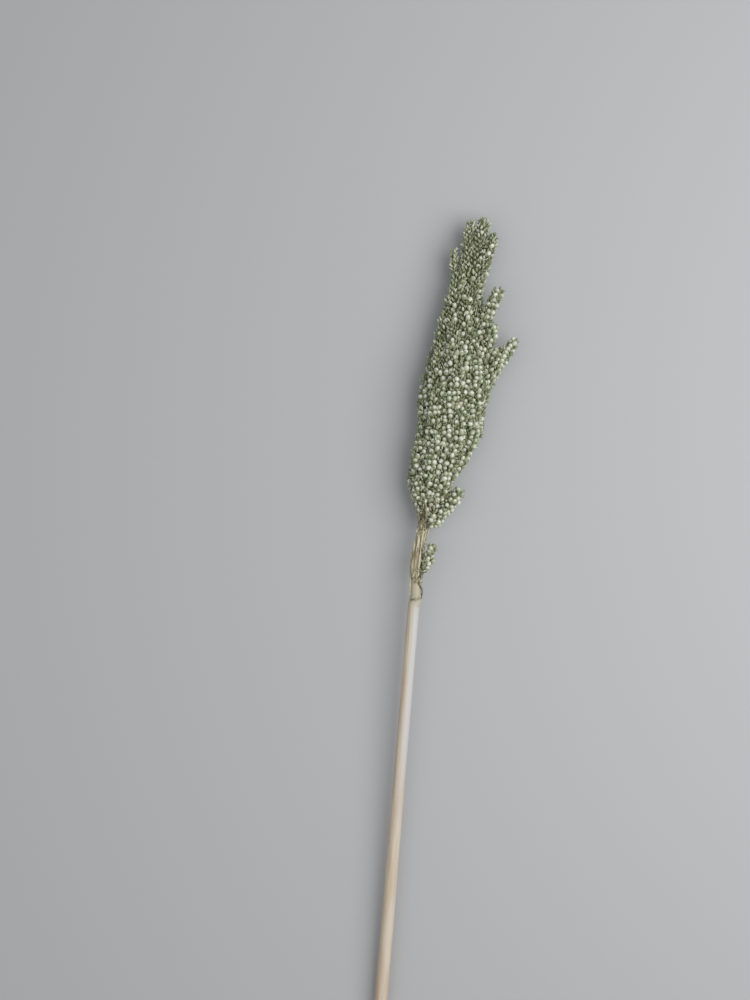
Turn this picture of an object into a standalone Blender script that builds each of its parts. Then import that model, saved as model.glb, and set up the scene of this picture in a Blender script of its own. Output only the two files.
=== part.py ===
"""A sorghum seed head, cut with its stem and laid on its side.

Metres, +Z up. The plant lies along +Y on the plane z = 0, with the cut end of its culm towards
-Y and the tip of the head towards +Y. Everything is modelled round the node ring, where the
culm ends, at x = y = 0. The whole plant is then moved so that its origin is the middle of its
own footprint. Tables of points are in millimetres.
"""

import math
import random
from collections import namedtuple

import bmesh
import bpy
import numpy as np
from mathutils import Matrix, Vector

MM = 0.001
SEED = 7
GOLDEN_ANGLE = math.radians(137.508)
GOLDEN_SHARE = 0.618

# Height of the node ring and of the middle of the head above the surface
AXIS_HEIGHT = 15.8 * MM

# The culm is straight, and its cut end touches the surface. It thickens past its first third,
# and it meets the ring from a little to the left of the rachis
CULM_LENGTH = 394 * MM
CULM_RADIUS = 3.95 * MM
CUT_END_RADIUS = 4.4 * MM
THIN_TO = 130 * MM
THICK_FROM = 260 * MM
CULM_SIDES = 12
CULM_SHIFT = -0.8 * MM
RING_SHIFT = 0.1 * MM

# The node ring: its crown, its shoulders and the half width between them
RING_RADIUS = 4.35 * MM
LOW_SHOULDER = 4.1 * MM
TOP_SHOULDER = 3.9 * MM
RING_HALF_WIDTH = 1.6 * MM
RING_FOOT = 4.8 * MM

# The rachis goes on from the ring through the head: (along, across, radius)
RACHIS = [
    (3, -0.2, 3.5),
    (12, -0.9, 3.1),
    (26, -0.9, 2.9),
    (38, 0.1, 2.2),
    (46, 1.0, 2.2),
    (56, 2.2, 2.4),
    (78, 5.0, 2.4),
    (100, 8.2, 1.8),
]

# Bare feet of the lowest branches, which climb the rachis and spread below the head
STRANDS = 8
STRAND_RADIUS = 1.25 * MM
LEAST_REACH = 0.82
MOST_REACH = 1.12
STRAND_SIDES = 6
STRAND_TWIST = math.radians(38)
STRAND_SPREAD = [(9, 2.6), (16, 3.4), (25, 3.5), (36, 2.5), (46, 2.7), (55, 3.4), (66, 4.6)]

# Outline of the head without its free branches: (along, left edge, right edge)
OUTLINE = [
    (49, -4.0, 9.0),
    (57, -6.0, 15.0),
    (66, -9.5, 18.0),
    (80, -13.0, 20.0),
    (96, -12.0, 29.5),
    (112, -10.4, 37.0),
    (130, -10.4, 37.5),
    (148, -8.8, 41.0),
    (160, -6.0, 41.5),
    (172, -3.4, 37.5),
    (184, -1.4, 34.0),
    (200, 0.4, 30.0),
    (215, 3.0, 29.5),
    (232, 10.0, 34.0),
    (250, 13.5, 33.0),
    (262, 20.0, 29.0),
]
DEPTH_SHARE = 0.80
TIP_DROOP = 4.0 * MM
DROOP_START = 170 * MM

# Core of the head, which the branches stand out of
CORE_SHARE = 0.70
CORE_SIDES = 8
CORE_START = 51 * MM
CORE_END = 246 * MM
CORE_STATIONS = 8

# Branches that the rule places, a golden angle apart, the longest at the foot of the head
RULED_BRANCHES = 40
FIRST_TIP = 74 * MM
LAST_TIP = 257 * MM
CROWDED_BELOW = 28 * MM
LONGEST_BRANCH = 74 * MM
SHORTEST_BRANCH = 44 * MM
LENGTH_SPREAD = 0.1
BRANCH_RADIUS = 6.0 * MM
MOST_OF_HEAD = 0.55
TAPER = 0.45
BRANCH_WANDER = math.radians(9)
PATH_POINTS = 7

# How far out from the middle of the head a branch lies, as shares of the way to its outline:
# at its foot, from where it has come out, and at its tip
FOOT_LIFT = 0.15
LIFTED_AT = 0.42
TIP_LIFT = 1.07

# The lowest branches lie on the surface, each pressed flatter by the rest of its radius
PRESSED_SHARE = 0.86

# Branches that stand free of the outline, as (along, across, height from the axis) at the
# foot, the bend and the tip, with the radius over their grains at the bend and near the tip
FREE_BRANCHES = {
    "top": [(205, 18.5, 0), (238, 23.5, 1), (263.0, 25.6, -1), 6.4, 4.6],
    "top_left": [(196, 17.5, 0), (232, 16.0, 2), (260.0, 16.4, 0), 5.0, 3.2],
    "top_right": [(190, 17.0, 0), (228, 28.5, 2), (252.5, 33.0, 0), 5.4, 3.4],
    "upper_right": [(146, 15.0, 0), (186, 29.0, 4), (214.5, 40.2, 5), 5.6, 4.2],
    "inner_right": [(124, 11.5, 0), (162, 32.0, 6), (188.0, 38.2, 9), 5.6, 3.6],
    "far_right": [(104, 11.0, 0), (156, 35.5, 1), (180.0, 53.6, 2), 7.2, 3.8],
    "right_shoulder": [(98, 10.0, 0), (146, 35.5, 3), (172.0, 42.0, 4), 6.2, 4.6],
    "upper_left": [(190, 17.0, 0), (222, 9.5, 0), (239.0, 5.6, 0), 3.6, 2.4],
    "low_right": [(50, 2.4, 0), (57, 12.8, 3), (75.5, 24.0, 4), 6.2, 4.6],
}

# Grains, larger than life: each is one raised corner of its branch among four sunk ones
BRANCH_SIDES = 8
FEWEST_ROWS = 3
ROW_STEP = 4.5 * MM
CLEFT = 0.30
GRAIN_LEAN = 0.9 * MM

# The small tuft that grows from the ring, away from the head: (along, across, height)
TUFT_AXIS = [(14.5, 1.8, 5.0), (20.0, 3.9, 5.0), (27.0, 5.8, 4.8), (36.5, 7.3, 4.5)]
TUFT_RADII = [2.2 * MM, 3.2 * MM, 3.6 * MM, 2.8 * MM]

# Its stalk bulges from the ring to the right, then crosses in front of the rachis
PEDICEL = [
    (0.5, 3.4, 0.6),
    (4.0, 4.2, 1.2),
    (7.5, 3.2, 2.2),
    (10.0, 1.4, 3.2),
    (12.4, -0.2, 3.5),
    (14.2, 0.8, 4.0),
]
PEDICEL_RADIUS = 0.75 * MM

# Room between the head, the tuft and the stem
FIT_GAP = 0.38 * MM
CUTTER_SIZE = 1.5
WELD = 0.002 * MM

Branch = namedtuple("Branch", "path radii")


def remove_everything():
    """Take every object and collection out of the scene."""
    for thing in list(bpy.data.objects):
        bpy.data.objects.remove(thing, do_unlink=True)
    for collection in list(bpy.data.collections):
        bpy.data.collections.remove(collection)


def new_collection(name):
    """A collection in the scene."""
    collection = bpy.data.collections.new(name)
    bpy.context.scene.collection.children.link(collection)
    return collection


def straw_material():
    """Dried straw of the culm, the rachis and the bare branch feet."""
    return plain_material("dried_straw", (0.56, 0.49, 0.37, 1.0), 0.55)


def grain_material():
    """Pale sage grains in their darker glumes."""
    return plain_material("sage_grains", (0.31, 0.34, 0.24, 1.0), 0.60)


def plain_material(name, colour, roughness):
    """A Principled material of one colour."""
    material = bpy.data.materials.new(name)
    material.use_nodes = True
    shader = material.node_tree.nodes["Principled BSDF"]
    shader.inputs["Base Color"].default_value = colour
    shader.inputs["Roughness"].default_value = roughness
    shader.inputs["Metallic"].default_value = 0.0
    return material


def tube(name, path, radii, sides):
    """A closed mesh tube along a path with a radius at each point."""
    curve = bpy.data.curves.new(name, "CURVE")
    curve.dimensions = "3D"
    curve.bevel_depth = 1.0
    curve.bevel_resolution = (sides - 4) // 2
    curve.use_fill_caps = True
    spline = curve.splines.new("POLY")
    spline.points.add(len(path) - 1)
    for point, place, radius in zip(spline.points, path, radii):
        point.co = (*place, 1.0)
        point.radius = radius
    guide = bpy.data.objects.new(name + "_curve", curve)
    bpy.context.scene.collection.objects.link(guide)
    evaluated = guide.evaluated_get(bpy.context.evaluated_depsgraph_get())
    mesh = bpy.data.meshes.new_from_object(evaluated)
    bpy.data.objects.remove(guide)
    weld(mesh)
    return bpy.data.objects.new(name, mesh)


def weld(mesh):
    """Join corners that lie together, as at a tube's caps, and turn every face outwards."""
    shape = bmesh.new()
    shape.from_mesh(mesh)
    bmesh.ops.remove_doubles(shape, verts=shape.verts, dist=WELD)
    bmesh.ops.dissolve_degenerate(shape, edges=shape.edges, dist=WELD)
    bmesh.ops.recalc_face_normals(shape, faces=shape.faces)
    shape.to_mesh(mesh)
    shape.free()


def boolean(target, pieces, operation):
    """Join the pieces to the target, or cut them from it, and remove them."""
    operands = new_collection(target.name + "_operands")
    for piece in pieces:
        operands.objects.link(piece)
    bpy.context.scene.collection.objects.link(target)
    modifier = target.modifiers.new("fuse", "BOOLEAN")
    modifier.operation = operation
    modifier.solver = "MANIFOLD"
    modifier.operand_type = "COLLECTION"
    modifier.collection = operands
    evaluated = target.evaluated_get(bpy.context.evaluated_depsgraph_get())
    mesh = bpy.data.meshes.new_from_object(evaluated)
    target.modifiers.clear()
    target.data = mesh
    bpy.context.scene.collection.objects.unlink(target)
    for piece in list(operands.objects):
        bpy.data.objects.remove(piece, do_unlink=True)
    bpy.data.collections.remove(operands)
    return target


def drop_scraps(target):
    """Keep the body with the most corners, without the specks that a cut leaves loose."""
    shape = bmesh.new()
    shape.from_mesh(target.data)
    unseen = set(shape.verts)
    bodies = []
    while unseen:
        body = {unseen.pop()}
        front = list(body)
        while front:
            corner = front.pop()
            for edge in corner.link_edges:
                other = edge.other_vert(corner)
                if other in unseen:
                    unseen.discard(other)
                    body.add(other)
                    front.append(other)
        bodies.append(body)
    largest = max(bodies, key=len)
    scraps = [corner for body in bodies if body is not largest for corner in body]
    bmesh.ops.delete(shape, geom=scraps, context="VERTS")
    shape.to_mesh(target.data)
    shape.free()


def ground():
    """What lies below the surface, which flattens whatever would reach into it."""
    bpy.ops.mesh.primitive_cube_add(size=CUTTER_SIZE, location=(0, 0, -CUTTER_SIZE / 2))
    cutter = bpy.context.active_object
    cutter.name = "ground"
    for collection in cutter.users_collection:
        collection.objects.unlink(cutter)
    cutter.hide_render = True
    cutter.display_type = "WIRE"
    return cutter


def from_axis(along, across, height):
    """A place given in millimetres from the ring's centre."""
    return Vector((across * MM, along * MM, AXIS_HEIGHT + height * MM))


def culm_height(along):
    """Height of the culm's centre, which comes down evenly from the ring to the cut end."""
    share = -along / CULM_LENGTH
    return AXIS_HEIGHT + share * (CUT_END_RADIUS - AXIS_HEIGHT)


def stalk(extra):
    """The culm with its ring and the rachis as one tube, thicker by extra all round."""
    stations = [
        (-CULM_LENGTH, CULM_SHIFT, CUT_END_RADIUS),
        (-THICK_FROM, CULM_SHIFT, CUT_END_RADIUS),
        (-THIN_TO, CULM_SHIFT, CULM_RADIUS),
        (-RING_FOOT, CULM_SHIFT, CULM_RADIUS),
        (-RING_HALF_WIDTH, RING_SHIFT, LOW_SHOULDER),
        (0, RING_SHIFT, RING_RADIUS),
        (RING_HALF_WIDTH, RING_SHIFT, TOP_SHOULDER),
    ]
    path = [Vector((across, along, culm_height(along))) for along, across, radius in stations]
    radii = [radius + extra for along, across, radius in stations]
    for along, across, radius in RACHIS:
        path.append(from_axis(along, across, 0))
        radii.append(radius * MM + extra)
    path[-1].y += extra
    return tube("stem", path, radii, CULM_SIDES)


def rachis_across(along):
    """Where the rachis is, across the plant, at a distance from the ring."""
    stations = [row[0] * MM for row in RACHIS]
    places = [row[1] * MM for row in RACHIS]
    return float(np.interp(along, stations, places))


def strands(extra):
    """The bare feet of the lowest branches, twisted round the rachis."""
    for number in range(STRANDS):
        azimuth = number * GOLDEN_ANGLE
        reach = LEAST_REACH + (MOST_REACH - LEAST_REACH) * (number * GOLDEN_SHARE % 1)
        path = []
        for step, (along, spread) in enumerate(STRAND_SPREAD):
            angle = azimuth + STRAND_TWIST * step / (len(STRAND_SPREAD) - 1)
            middle = Vector((rachis_across(along * MM), along * MM, AXIS_HEIGHT))
            outwards = Vector((math.cos(angle), 0, math.sin(angle)))
            path.append(middle + outwards * reach * spread * MM)
        path[-1].y += extra
        yield tube("strand", path, [STRAND_RADIUS + extra] * len(path), STRAND_SIDES)


def pedicel(extra):
    """The thin stalk that carries the low tuft."""
    path = [from_axis(*row) for row in PEDICEL]
    path[-1] += (path[-1] - path[-2]).normalized() * extra
    return tube("pedicel", path, [PEDICEL_RADIUS + extra] * len(path), STRAND_SIDES)


def make_stem(extra=0.0):
    """Culm, ring, rachis, bare branch feet and the low tuft's stalk in one body."""
    stem = stalk(extra)
    return boolean(stem, [*strands(extra), pedicel(extra)], "UNION")


def section(along):
    """Middle and half axes (across, up) of the head's oval outline at a station."""
    stations = [row[0] * MM for row in OUTLINE]
    left = float(np.interp(along, stations, [row[1] * MM for row in OUTLINE]))
    right = float(np.interp(along, stations, [row[2] * MM for row in OUTLINE]))
    half_width = (right - left) / 2
    past = max(0.0, along - DROOP_START) / (LAST_TIP - DROOP_START)
    height = AXIS_HEIGHT - TIP_DROOP * past**2
    middle = Vector(((left + right) / 2, along, height))
    return middle, Vector((half_width, 0, DEPTH_SHARE * half_width))


def core():
    """The smaller body inside the head that every branch grows out of."""
    path = []
    radii = []
    for number in range(CORE_STATIONS):
        along = CORE_START + (CORE_END - CORE_START) * number / (CORE_STATIONS - 1)
        middle, half = section(along)
        path.append(middle)
        radii.append(CORE_SHARE * half.x)
    body = tube("seed_head", path, radii, CORE_SIDES)
    for corner in body.data.vertices:
        corner.co.z = AXIS_HEIGHT + (corner.co.z - AXIS_HEIGHT) * DEPTH_SHARE
    return body


def tip_stations():
    """Where the ruled branches end, closer together where the head below them is wide."""
    stations = np.linspace(FIRST_TIP, LAST_TIP, 4 * RULED_BRANCHES)
    crowding = np.cumsum([section(along - CROWDED_BELOW)[1].x for along in stations])
    shares = (np.arange(RULED_BRANCHES) + 0.5) / RULED_BRANCHES
    return [float(along) for along in np.interp(shares * crowding[-1], crowding, stations)]


def ruled_branch(number, tip, draw):
    """A branch that leaves the core and runs up just under the head's outline."""
    share = (tip - FIRST_TIP) / (LAST_TIP - FIRST_TIP)
    length = LONGEST_BRANCH + (SHORTEST_BRANCH - LONGEST_BRANCH) * share
    length *= draw.uniform(1 - LENGTH_SPREAD, 1 + LENGTH_SPREAD)
    foot = max(CORE_START, tip - length)
    azimuth = number * GOLDEN_ANGLE
    wander = draw.uniform(-BRANCH_WANDER, BRANCH_WANDER)
    path = []
    radii = []
    for point in range(PATH_POINTS):
        grown = point / (PATH_POINTS - 1)
        along = foot + (tip - foot) * grown
        middle, half = section(along)
        radius = min(BRANCH_RADIUS, MOST_OF_HEAD * half.x)
        if grown < LIFTED_AT:
            lift = FOOT_LIFT + (1 - FOOT_LIFT) * grown / LIFTED_AT
        else:
            lift = 1 + (TIP_LIFT - 1) * (grown - LIFTED_AT) / (1 - LIFTED_AT)
        angle = azimuth + wander * grown
        across = (half.x - radius) * math.cos(angle)
        up = (half.z - radius) * math.sin(angle)
        place = middle + lift * Vector((across, 0, up))
        place.z = max(place.z, PRESSED_SHARE * radius)
        path.append(place)
        radii.append(radius * (1 - TAPER * grown**3))
    return Branch(path, radii)


def free_branch(foot, bend, tip, radius, tip_radius):
    """A branch that stands clear of the rest, bent once on a smooth curve."""
    foot, bend, tip = from_axis(*foot), from_axis(*bend), from_axis(*tip)
    path = []
    radii = []
    for point in range(PATH_POINTS):
        grown = point / (PATH_POINTS - 1)
        path.append(foot * (1 - grown) ** 2 + bend * 2 * grown * (1 - grown) + tip * grown**2)
        radii.append((radius + (tip_radius - radius) * grown**2) * MM)
    return Branch(path, radii)


def along_branch(branch, share):
    """Place, direction and radius at a share of a branch's length."""
    last = len(branch.path) - 2
    step = min(int(share * (last + 1)), last)
    part = share * (last + 1) - step
    start, end = branch.path[step], branch.path[step + 1]
    radius = branch.radii[step] * (1 - part) + branch.radii[step + 1] * part
    return start.lerp(end, part), (end - start).normalized(), radius


def grain_rings(shape, branch):
    """Rings of corners along a branch. Every other corner is the tip of a grain, which stands
    out and leans up the branch, and the ones between are sunk in the clefts round it.
    """
    length = sum((b - a).length for a, b in zip(branch.path, branch.path[1:]))
    steps = max(FEWEST_ROWS, round(length / ROW_STEP))
    rings = []
    for step in range(steps):
        place, direction, radius = along_branch(branch, step / steps)
        turn = direction.to_track_quat("Y", "Z")
        ring = []
        for side in range(BRANCH_SIDES):
            angle = side * math.tau / BRANCH_SIDES
            tip = (side + step) % 2 == 0
            reach = radius if tip else radius * (1 - CLEFT)
            lean = GRAIN_LEAN if tip else 0.0
            corner = Vector((reach * math.cos(angle), lean, reach * math.sin(angle)))
            ring.append(shape.verts.new(place + turn @ corner))
        rings.append(ring)
    return rings


def grain_branch(name, branch):
    """A branch covered in grains, closed to a point at its foot and its tip.

    Each patch between four corners is folded along its sunk pair, so that the four patches
    round a raised corner are the sides of one grain.
    """
    shape = bmesh.new()
    rings = grain_rings(shape, branch)
    for step, (ring, next_ring) in enumerate(zip(rings, rings[1:])):
        for side in range(BRANCH_SIDES):
            other = (side + 1) % BRANCH_SIDES
            near, beside, ahead, across = ring[side], ring[other], next_ring[side], next_ring[other]
            if (side + step) % 2 == 0:
                shape.faces.new((near, ahead, beside))
                shape.faces.new((beside, ahead, across))
            else:
                shape.faces.new((near, across, beside))
                shape.faces.new((near, ahead, across))
    for end, ring in ((branch.path[0], rings[0]), (branch.path[-1], rings[-1])):
        point = shape.verts.new(end)
        for side in range(BRANCH_SIDES):
            shape.faces.new((point, ring[side], ring[(side + 1) % BRANCH_SIDES]))
    bmesh.ops.recalc_face_normals(shape, faces=shape.faces)
    mesh = bpy.data.meshes.new(name)
    shape.to_mesh(mesh)
    shape.free()
    return bpy.data.objects.new(name, mesh)


def all_branches():
    """Every branch of the head, the ruled ones first."""
    draw = random.Random(SEED)
    branches = [ruled_branch(number, tip, draw) for number, tip in enumerate(tip_stations())]
    branches += [free_branch(*row) for row in FREE_BRANCHES.values()]
    return branches


def make_head():
    """The core with every branch standing out of it, joined in one body."""
    return boolean(core(), [grain_branch("branch", branch) for branch in all_branches()], "UNION")


def make_tuft():
    """The small tuft on its own stalk, a branch like the others."""
    axis = Branch([from_axis(*row) for row in TUFT_AXIS], TUFT_RADII)
    return grain_branch("low_tuft", axis)


def centre_plant(nodes):
    """Move the plant so that its origin is the middle of its own footprint."""
    corners = np.array([corner.co for node in nodes for corner in node.data.vertices])
    low, high = corners.min(axis=0), corners.max(axis=0)
    shift = Vector((-(low[0] + high[0]) / 2, -(low[1] + high[1]) / 2, -low[2]))
    for node in nodes:
        node.data.transform(Matrix.Translation(shift))


def main():
    """Build the stem, the head and the tuft."""
    remove_everything()
    parts = new_collection("sorghum_seed_head")
    stem = make_stem()
    head = make_head()
    tuft = make_tuft()
    boolean(head, [make_stem(FIT_GAP)], "DIFFERENCE")
    boolean(tuft, [make_stem(FIT_GAP)], "DIFFERENCE")
    nodes = [stem, head, tuft]
    for node, material in zip(nodes, [straw_material(), grain_material(), grain_material()]):
        boolean(node, [ground()], "DIFFERENCE")
        drop_scraps(node)
        weld(node.data)
        node.data.materials.clear()
        node.data.materials.append(material)
        parts.objects.link(node)
    centre_plant(nodes)


main()
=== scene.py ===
"""The looks of a dried sorghum seed head, cut with its stem and lying on a pale floor.

Metres, +Z up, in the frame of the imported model. The branches of the head follow the same rule
and the same driving sizes as the solids do, and every grain sits on one of them. The plant is
worked out from the centre of its node ring, and moved to its place in the frame at the end.
"""

import math
import random
from collections import namedtuple

import bmesh
import bpy
import numpy as np
from bpy.props import FloatProperty, FloatVectorProperty, IntProperty, PointerProperty
from mathutils import Matrix, Vector, noise


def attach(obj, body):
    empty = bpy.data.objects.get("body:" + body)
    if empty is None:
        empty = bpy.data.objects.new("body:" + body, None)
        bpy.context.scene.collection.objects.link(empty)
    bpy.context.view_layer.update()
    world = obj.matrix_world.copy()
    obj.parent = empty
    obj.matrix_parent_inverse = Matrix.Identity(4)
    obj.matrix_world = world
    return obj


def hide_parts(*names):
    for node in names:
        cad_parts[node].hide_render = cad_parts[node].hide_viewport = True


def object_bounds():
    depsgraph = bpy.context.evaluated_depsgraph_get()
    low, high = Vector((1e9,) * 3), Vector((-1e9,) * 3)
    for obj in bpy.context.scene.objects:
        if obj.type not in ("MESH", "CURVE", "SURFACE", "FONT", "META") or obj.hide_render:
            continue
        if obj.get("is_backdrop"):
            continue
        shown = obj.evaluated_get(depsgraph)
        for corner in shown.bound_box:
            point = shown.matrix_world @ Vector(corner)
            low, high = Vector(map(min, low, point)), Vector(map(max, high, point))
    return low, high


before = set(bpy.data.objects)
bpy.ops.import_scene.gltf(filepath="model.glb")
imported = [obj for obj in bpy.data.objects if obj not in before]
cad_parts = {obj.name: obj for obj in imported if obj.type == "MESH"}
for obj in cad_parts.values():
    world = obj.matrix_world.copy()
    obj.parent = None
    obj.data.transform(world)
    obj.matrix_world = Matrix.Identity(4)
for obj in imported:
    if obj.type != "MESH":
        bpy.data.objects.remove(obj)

bl_info = {
    "name": "Sorghum Seed Head",
    "version": (1, 0, 0),
    "blender": (4, 5, 0),
    "location": "3D View > Sidebar > Sorghum",
    "description": "Builds a dried sorghum seed head on its cut stem, grain by grain",
    "category": "Add Mesh",
}

CAD_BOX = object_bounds()
MM = 0.001
SEED = 7
GOLDEN_ANGLE = math.radians(137.508)

# Sizes that the solids share, in metres, or in millimetres in the tables of points. The culm is
# thin from the ring down to one distance, and thick from another down to its cut end
AXIS_HEIGHT = 15.8 * MM
CULM_LENGTH = 394 * MM
CULM_RADIUS = 3.95 * MM
CUT_END_RADIUS = 4.4 * MM
THIN_TO = 130 * MM
THICK_FROM = 260 * MM
RING_RADIUS = 4.35 * MM
LOW_SHOULDER = 4.1 * MM
TOP_SHOULDER = 3.9 * MM
RING_HALF_WIDTH = 1.6 * MM
RING_FOOT = 4.8 * MM
CULM_SHIFT = -0.8 * MM
RING_SHIFT = 0.1 * MM

# The rachis above the ring: (along, across, radius)
RACHIS = [
    (3, -0.2, 3.5),
    (12, -0.9, 3.1),
    (26, -0.9, 2.9),
    (38, 0.1, 2.2),
    (46, 1.0, 2.2),
    (56, 2.2, 2.4),
    (78, 5.0, 2.4),
    (100, 8.2, 1.8),
]

# Outline of the head without its free branches: (along, left edge, right edge)
OUTLINE = [
    (49, -4.0, 9.0),
    (57, -6.0, 15.0),
    (66, -9.5, 18.0),
    (80, -13.0, 20.0),
    (96, -12.0, 29.5),
    (112, -10.4, 37.0),
    (130, -10.4, 37.5),
    (148, -8.8, 41.0),
    (160, -6.0, 41.5),
    (172, -3.4, 37.5),
    (184, -1.4, 34.0),
    (200, 0.4, 30.0),
    (215, 3.0, 29.5),
    (232, 10.0, 34.0),
    (250, 13.5, 33.0),
    (262, 20.0, 29.0),
]

# The head is this deep against its width, its tip droops, and a core fills its middle
DEPTH_SHARE = 0.80
TIP_DROOP = 4.0 * MM
DROOP_START = 170 * MM
CORE_START = 51 * MM
CORE_END = 246 * MM

# The ruled branches: where they end, how long and how thick they are, and how far from the
# head's middle they run, from their lifted foot to their lifted tip
RULED_BRANCHES = 40
FIRST_TIP = 74 * MM
LAST_TIP = 257 * MM
CROWDED_BELOW = 28 * MM
LONGEST_BRANCH = 74 * MM
SHORTEST_BRANCH = 44 * MM
LENGTH_SPREAD = 0.1
BRANCH_RADIUS = 6.0 * MM
MOST_OF_HEAD = 0.55
TAPER = 0.45
BRANCH_WANDER = math.radians(9)
PATH_POINTS = 7
FOOT_LIFT = 0.15
LIFTED_AT = 0.42
TIP_LIFT = 1.07
PRESSED_SHARE = 0.86

# Free branches: (along, across, height) at the foot, the bend and the tip, and two radii
FREE_BRANCHES = {
    "top": [(205, 18.5, 0), (238, 23.5, 1), (263.0, 25.6, -1), 6.4, 4.6],
    "top_left": [(196, 17.5, 0), (232, 16.0, 2), (260.0, 16.4, 0), 5.0, 3.2],
    "top_right": [(190, 17.0, 0), (228, 28.5, 2), (252.5, 33.0, 0), 5.4, 3.4],
    "upper_right": [(146, 15.0, 0), (186, 29.0, 4), (214.5, 40.2, 5), 5.6, 4.2],
    "inner_right": [(124, 11.5, 0), (162, 32.0, 6), (188.0, 38.2, 9), 5.6, 3.6],
    "far_right": [(104, 11.0, 0), (156, 35.5, 1), (180.0, 53.6, 2), 7.2, 3.8],
    "right_shoulder": [(98, 10.0, 0), (146, 35.5, 3), (172.0, 42.0, 4), 6.2, 4.6],
    "upper_left": [(190, 17.0, 0), (222, 9.5, 0), (239.0, 5.6, 0), 3.6, 2.4],
    "low_right": [(50, 2.4, 0), (57, 12.8, 3), (75.5, 24.0, 4), 6.2, 4.6],
}

# The low tuft's axis as (along, across, height), its radii there, and the share of its length
# below which it has no ripe grain
TUFT_AXIS = [(14.5, 1.8, 5.0), (20.0, 3.9, 5.0), (27.0, 5.8, 4.8), (36.5, 7.3, 4.5)]
TUFT_RADII = [2.2 * MM, 3.2 * MM, 3.6 * MM, 2.8 * MM]
TUFT_BARE_TO = 0.28

# The tuft stands this many millimetres to the right of its solid, clear of the strands
TUFT_SHIFT = 0.9

# Its stalk bulges from the ring, then crosses in front of the rachis: (along, across, height)
PEDICEL = [
    (0.5, 3.4, 0.6),
    (4.0, 4.2, 1.2),
    (7.5, 3.2, 2.2),
    (10.0, 1.4, 3.2),
    (12.4, -0.2, 3.5),
    (14.2, 0.8, 4.0),
]
TUFT_STALK_RADIUS = 0.60 * MM

# Bare branch feet climb the rachis and twist round it: (along, distance from its middle)
STRAND_COURSE = [(5, 2.0), (11, 2.6), (18, 3.6), (26, 4.0), (36, 2.9), (46, 3.0), (56, 4.2), (70, 6.6)]
STRAND_TWIST = math.radians(38)
STRAND_HALF_WIDTH = (1.20, 2.05)
STRAND_FLATNESS = 0.42

# A broad tan foot lies in front of the others: azimuth, half width, share of the others'
# distance from the rachis, and tone
FRONT_STRAND = (1.35, 1.9 * MM, 0.80, 1.0)

# One thin foot stands apart at the left edge: (along, across, height)
LEFT_STRAND = [
    (1.5, -3.9, 0.5),
    (5, -4.2, 0.6),
    (12, -4.5, 0.8),
    (22, -5.2, 1.0),
    (32, -4.4, 1.2),
    (42, -2.6, 1.5),
    (52, -1.0, 2.0),
]
LEFT_STRAND_RADIUS = 0.58 * MM

# Thin branchlets start from the strands at these stations and run up this far, in millimetres.
# Dry fibres curl between the strands and beside the tuft, there this far from the rachis
BRANCHLETS = 70
BRANCHLET_START = (45, 56)
BRANCHLET_RUN = (9, 22)
BRANCHLET_RADIUS = 0.46 * MM
STRAND_CURLS = 12
STRAND_CURL_REACH = 2.2 * MM
TUFT_CURLS = 30
TUFT_CURL_REACH = 1.5 * MM
TUFT_CURLS_OUT = 4.3
CURL_RADIUS = 0.27 * MM
THREAD_TAPER = 0.4

# Grains sit in layers this deep under the branches' surface. Spikelets fill between them, and
# keep off a grain's middle by this share of its width
GRAIN_LAYERS = (1.6 * MM, 4.2 * MM)
SPIKELET_LAYERS = (1.0 * MM, 2.6 * MM, 4.2 * MM)
OFF_GRAINS = 0.50

# Seats follow each other by this step, from this share of a branch's length to its tip. Another
# branch may cover one by this much more than its layer's depth, and none is nearer to its own
# branch's axis than the last value
SEAT_STEP = 0.28 * MM
SEATS_FROM = 0.10
SUNK_AT_MOST = 0.6 * MM
LEAST_SEAT = 0.5 * MM

# The branches' thick tips narrow over the last part of their length. High up, their seats stop
# short of the tip, because the spikelets reach past it: (along, radius, how far short)
POINTED_FROM = 0.80
TIPS = [(170, 2.9, 0), (214, 2.4, 1.6), (262, 1.9, 3.0)]

# Where no branch runs, seats this deep under the head's outline close the gap. A branch may cover
# one by the last value
GAP_LAYERS = (4.0 * MM, 6.6 * MM)
GAP_SEATS = 9000
GAP_SUNK_AT_MOST = 0.2 * MM

# Ripeness from the head's full foot to its tip: (along, ripeness). It rises to the right
RIPENESS = [(130, 1.00), (190, 0.56), (228, 0.20), (262, 0.02)]
RIPENESS_SPREAD = 0.34
RIPE_FROM = 0.5
RIPER_RIGHT = 0.30
RIPER_RIGHT_ABOVE = 120 * MM
FARTHEST_RIGHT = 1.3

# The free branches on the right, past this share of the head's half width, and the low tuft,
# which is all that lies below the last station here, are full of grain
FREE_FROM = 0.95
RIPE_FREE_BELOW = 222 * MM
FREE_RIPER = 0.50
FREE_CLOSER = 0.88
TUFT_BELOW = 42 * MM

# Most branch feet are bare between these stations, on the left and in the middle of the head.
# The upper limit is ragged, with this many lumps a metre
BARE_FROM = CORE_START - 4 * MM
BARE_BELOW = 56 * MM
BARE_LEFT_OF = 5 * MM
RAGGED_BY = 4 * MM
RAGGED_LUMPS = 400
KEPT_ON_BARE_FOOT = 0.45
UNSEEN_BELOW = 9.0 * MM

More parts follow.
